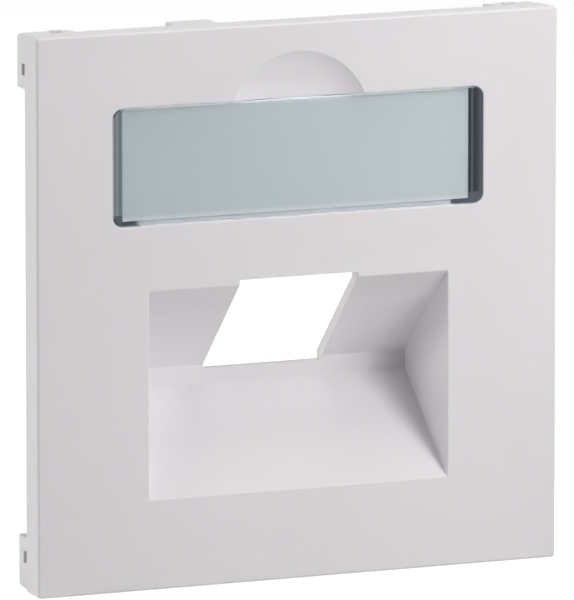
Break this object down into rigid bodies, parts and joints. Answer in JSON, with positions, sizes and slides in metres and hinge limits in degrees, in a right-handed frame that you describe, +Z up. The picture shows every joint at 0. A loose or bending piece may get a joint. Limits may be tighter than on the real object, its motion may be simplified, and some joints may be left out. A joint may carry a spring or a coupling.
{
  "type": "keystone faceplate",
  "caption": "Square snap-in faceplate for a flush data outlet, with a sloping niche and opening for a keystone jack below a clear-covered label window.",
  "frame": {"origin": "centre of the plane of the skirt's rear edge, where the plate seats on its support", "axes": "+X right, +Z up, +Y back into the wall; the front faces -Y"},
  "size_m": [0.0632, 0.012, 0.0632],
  "materials": {
    "white_plastic": "satin",
    "clear_plastic": "gloss",
    "paper": "matte"
  },
  "bodies": {
    "plate": {"faceplate": "white_plastic", "label_strip": "paper"},
    "cover": {"label_cover": "clear_plastic"}
  },
  "joints": [
    {"name": "cover_pull", "type": "slide", "parent": "plate", "child": "cover", "axis": [0, -1, 0], "range_m": [0, 0.01]}
  ]
}
